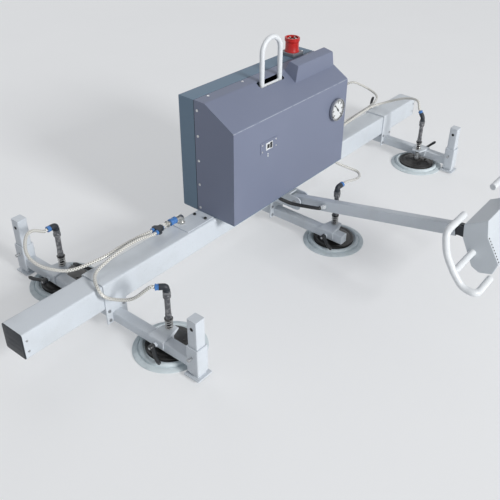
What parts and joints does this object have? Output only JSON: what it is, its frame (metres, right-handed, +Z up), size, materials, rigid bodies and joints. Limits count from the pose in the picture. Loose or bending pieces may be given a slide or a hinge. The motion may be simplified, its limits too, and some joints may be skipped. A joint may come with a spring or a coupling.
{
  "type": "vacuum lifter",
  "caption": "Vacuum lifter for sheet metal: long square beam with a boxy pump housing, sliding crossbars on spring-stem suction cups, parking legs and an operator arm with a handled console.",
  "frame": {"origin": "centre of the bounding box's footprint, on the plane that the suction cups stand on", "axes": "+X along the main beam with the power inlet towards +X, +Y from the operator to the far side, +Z up"},
  "size_m": [2.53, 1.5861, 0.8435],
  "materials": {
    "light_coat": "semi-gloss light grey powder coat",
    "blue_grey_coat": "fine-textured blue-grey powder coat",
    "grey_coat": "fine-textured grey-blue powder coat",
    "console_coat": "satin light grey coat",
    "stem_steel": "dark oiled steel",
    "spring_steel": "oiled spring steel",
    "black_plastic": "matte black plastic",
    "pale_rubber": "pale grey rubber",
    "blue_plastic": "satin blue plastic",
    "red_plastic": "glossy red plastic",
    "clear_hose": "translucent braided hose"
  },
  "bodies": {
    "lifter": {"main_beam": "light_coat", "end_cap_left": "black_plastic", "end_cap_right": "black_plastic", "manifold_plate": "light_coat", "housing_rear": "grey_coat", "housing_cover": "blue_grey_coat", "lifting_eye": "light_coat", "power_inlet": "red_plastic", "gauge": "black_plastic", "crossbar_middle": "light_coat", "hose_front_left": "clear_hose", "hose_rear_left": "clear_hose", "hose_front_middle": "clear_hose", "hose_front_right": "clear_hose", "hose_rear_right": "clear_hose", "control_cable": "black_plastic"},
    "crossbar_left": {"crossbar_left": "light_coat"},
    "crossbar_right": {"crossbar_right": "light_coat"},
    "saddle_lever_left": {"saddle_lever_left": "black_plastic"},
    "saddle_lever_right": {"saddle_lever_right": "black_plastic"},
    "control_arm": {"control_arm": "light_coat"},
    "control_box": {"control_box": "console_coat"},
    "panel_button": {"panel_button": "black_plastic"},
    "gauge_needle": {"gauge_needle": "black_plastic"},
    "valve_sleeve_left": {"valve_sleeve_left": "blue_plastic"},
    "valve_sleeve_right": {"valve_sleeve_right": "blue_plastic"},
    "leg_front_left": {"leg_front_left": "light_coat"},
    "leg_rear_left": {"leg_rear_left": "light_coat"},
    "leg_front_right": {"leg_front_right": "light_coat"},
    "leg_rear_right": {"leg_rear_right": "light_coat"},
    "carrier_front_left": {"carrier_front_left": "light_coat"},
    "carrier_lever_front_left": {"carrier_lever_front_left": "black_plastic"},
    "stem_front_left": {"stem_front_left": "stem_steel", "cup_front_left": "pale_rubber", "spring_front_left": "spring_steel"},
    "carrier_rear_left": {"carrier_rear_left": "light_coat"},
    "carrier_lever_rear_left": {"carrier_lever_rear_left": "black_plastic"},
    "stem_rear_left": {"stem_rear_left": "stem_steel", "cup_rear_left": "pale_rubber", "spring_rear_left": "spring_steel"},
    "carrier_front_middle": {"carrier_front_middle": "light_coat"},
    "carrier_lever_front_middle": {"carrier_lever_front_middle": "black_plastic"},
    "stem_front_middle": {"stem_front_middle": "stem_steel", "cup_front_middle": "pale_rubber", "spring_front_middle": "spring_steel"},
    "carrier_rear_middle": {"carrier_rear_middle": "light_coat"},
    "carrier_lever_rear_middle": {"carrier_lever_rear_middle": "black_plastic"},
    "stem_rear_middle": {"stem_rear_middle": "stem_steel", "cup_rear_middle": "pale_rubber", "spring_rear_middle": "spring_steel"},
    "carrier_front_right": {"carrier_front_right": "light_coat"},
    "carrier_lever_front_right": {"carrier_lever_front_right": "black_plastic"},
    "stem_front_right": {"stem_front_right": "stem_steel", "cup_front_right": "pale_rubber", "spring_front_right": "spring_steel"},
    "carrier_rear_right": {"carrier_rear_right": "light_coat"},
    "carrier_lever_rear_right": {"carrier_lever_rear_right": "black_plastic"},
    "stem_rear_right": {"stem_rear_right": "stem_steel", "cup_rear_right": "pale_rubber", "spring_rear_right": "spring_steel"}
  },
  "joints": [
    {"name": "crossbar_left_slide", "type": "slide", "parent": "lifter", "child": "crossbar_left", "axis": [1, 0, 0], "range_m": [-0.25, 0.2], "deforming": ["hose_front_left", "hose_rear_left"]},
    {"name": "leg_front_left_slide", "type": "slide", "parent": "crossbar_left", "child": "leg_front_left", "axis": [0, 0, 1], "range_m": [-0.118, 0]},
    {"name": "leg_rear_left_slide", "type": "slide", "parent": "crossbar_left", "child": "leg_rear_left", "axis": [0, 0, 1], "range_m": [-0.118, 0]},
    {"name": "crossbar_right_slide", "type": "slide", "parent": "lifter", "child": "crossbar_right", "axis": [1, 0, 0], "range_m": [-0.2, 0.2], "deforming": ["hose_front_right", "hose_rear_right"]},
    {"name": "leg_front_right_slide", "type": "slide", "parent": "crossbar_right", "child": "leg_front_right", "axis": [0, 0, 1], "range_m": [-0.118, 0]},
    {"name": "leg_rear_right_slide", "type": "slide", "parent": "crossbar_right", "child": "leg_rear_right", "axis": [0, 0, 1], "range_m": [-0.118, 0]},
    {"name": "saddle_lever_left_turn", "type": "hinge", "parent": "crossbar_left", "child": "saddle_lever_left", "pos_m": [-0.883, 0.36536, 0.17], "axis": [0, 1, 0], "range_deg": [-90, 90]},
    {"name": "saddle_lever_right_turn", "type": "hinge", "parent": "crossbar_right", "child": "saddle_lever_right", "pos_m": [0.983, 0.36536, 0.17], "axis": [0, 1, 0], "range_deg": [-90, 90]},
    {"name": "carrier_front_left_slide", "type": "slide", "parent": "crossbar_left", "child": "carrier_front_left", "axis": [0, 1, 0], "range_m": [0, 0.12]},
    {"name": "carrier_lever_front_left_turn", "type": "hinge", "parent": "carrier_front_left", "child": "carrier_lever_front_left", "pos_m": [-0.9418, 0.03156, 0.058], "axis": [1, 0, 0], "range_deg": [-225, 0]},
    {"name": "stem_front_left_spring", "type": "slide", "parent": "carrier_front_left", "child": "stem_front_left", "axis": [0, 0, 1], "range_m": [-0.015, 0], "stiffness_N_per_m": 1500, "springref_m": 0.025, "deforming": ["spring_front_left"]},
    {"name": "carrier_rear_left_slide", "type": "slide", "parent": "crossbar_left", "child": "carrier_rear_left", "axis": [0, 1, 0], "range_m": [-0.142, 0]},
    {"name": "carrier_lever_rear_left_turn", "type": "hinge", "parent": "carrier_rear_left", "child": "carrier_lever_rear_left", "pos_m": [-0.9418, 0.59356, 0.058], "axis": [1, 0, 0], "range_deg": [-20, 205]},
    {"name": "stem_rear_left_spring", "type": "slide", "parent": "carrier_rear_left", "child": "stem_rear_left", "axis": [0, 0, 1], "range_m": [-0.015, 0], "stiffness_N_per_m": 1500, "springref_m": 0.025, "deforming": ["spring_rear_left"]},
    {"name": "carrier_front_middle_slide", "type": "slide", "parent": "lifter", "child": "carrier_front_middle", "axis": [0, 1, 0], "range_m": [-0.03, 0.105], "deforming": ["hose_front_middle"]},
    {"name": "carrier_lever_front_middle_turn", "type": "hinge", "parent": "carrier_front_middle", "child": "carrier_lever_front_middle", "pos_m": [-0.0338, -0.03344, 0.058], "axis": [1, 0, 0], "range_deg": [-225, 0]},
    {"name": "stem_front_middle_spring", "type": "slide", "parent": "carrier_front_middle", "child": "stem_front_middle", "axis": [0, 0, 1], "range_m": [-0.015, 0], "stiffness_N_per_m": 1500, "springref_m": 0.025, "deforming": ["spring_front_middle"]},
    {"name": "carrier_rear_middle_slide", "type": "slide", "parent": "lifter", "child": "carrier_rear_middle", "axis": [0, 1, 0], "range_m": [-0.145, 0.03]},
    {"name": "carrier_lever_rear_middle_turn", "type": "hinge", "parent": "carrier_rear_middle", "child": "carrier_lever_rear_middle", "pos_m": [-0.0338, 0.63656, 0.058], "axis": [1, 0, 0], "range_deg": [-20, 205]},
    {"name": "stem_rear_middle_spring", "type": "slide", "parent": "carrier_rear_middle", "child": "stem_rear_middle", "axis": [0, 0, 1], "range_m": [-0.015, 0], "stiffness_N_per_m": 1500, "springref_m": 0.025, "deforming": ["spring_rear_middle"]},
    {"name": "carrier_front_right_slide", "type": "slide", "parent": "crossbar_right", "child": "carrier_front_right", "axis": [0, 1, 0], "range_m": [0, 0.12]},
    {"name": "carrier_lever_front_right_turn", "type": "hinge", "parent": "carrier_front_right", "child": "carrier_lever_front_right", "pos_m": [0.9918, 0.03156, 0.058], "axis": [1, 0, 0], "range_deg": [-155, 70]},
    {"name": "stem_front_right_spring", "type": "slide", "parent": "carrier_front_right", "child": "stem_front_right", "axis": [0, 0, 1], "range_m": [-0.015, 0], "stiffness_N_per_m": 1500, "springref_m": 0.025, "deforming": ["spring_front_right"]},
    {"name": "carrier_rear_right_slide", "type": "slide", "parent": "crossbar_right", "child": "carrier_rear_right", "axis": [0, 1, 0], "range_m": [-0.142, 0]},
    {"name": "carrier_lever_rear_right_turn", "type": "hinge", "parent": "carrier_rear_right", "child": "carrier_lever_rear_right", "pos_m": [0.9918, 0.59356, 0.058], "axis": [1, 0, 0], "range_deg": [-20, 205]},
    {"name": "stem_rear_right_spring", "type": "slide", "parent": "carrier_rear_right", "child": "stem_rear_right", "axis": [0, 0, 1], "range_m": [-0.015, 0], "stiffness_N_per_m": 1500, "springref_m": 0.025, "deforming": ["spring_rear_right"]},
    {"name": "control_arm_lift", "type": "hinge", "parent": "lifter", "child": "control_arm", "pos_m": [0, 0.12956, 0.1555], "axis": [1, 0, 0], "range_deg": [-60, 12], "deforming": ["control_cable"]},
    {"name": "control_box_tilt", "type": "hinge", "parent": "control_arm", "child": "control_box", "pos_m": [0, -0.60056, 0.31336], "axis": [1, 0, 0], "range_deg": [-20, 20]},
    {"name": "panel_button_press", "type": "slide", "parent": "control_box", "child": "panel_button", "axis": [0, 0.8409, -0.5412], "range_m": [0, 0.003], "stiffness_N_per_m": 400, "springref_m": -0.004},
    {"name": "gauge_needle_turn", "type": "hinge", "parent": "lifter", "child": "gauge_needle", "pos_m": [0.275, 0.14156, 0.4776], "axis": [0, 1, 0], "range_deg": [-20, 250]},
    {"name": "valve_sleeve_left_slide", "type": "slide", "parent": "lifter", "child": "valve_sleeve_left", "axis": [-1, 0, 0], "range_m": [0, 0.01]},
    {"name": "valve_sleeve_right_slide", "type": "slide", "parent": "lifter", "child": "valve_sleeve_right", "axis": [1, 0, 0], "range_m": [0, 0.01]}
  ]
}
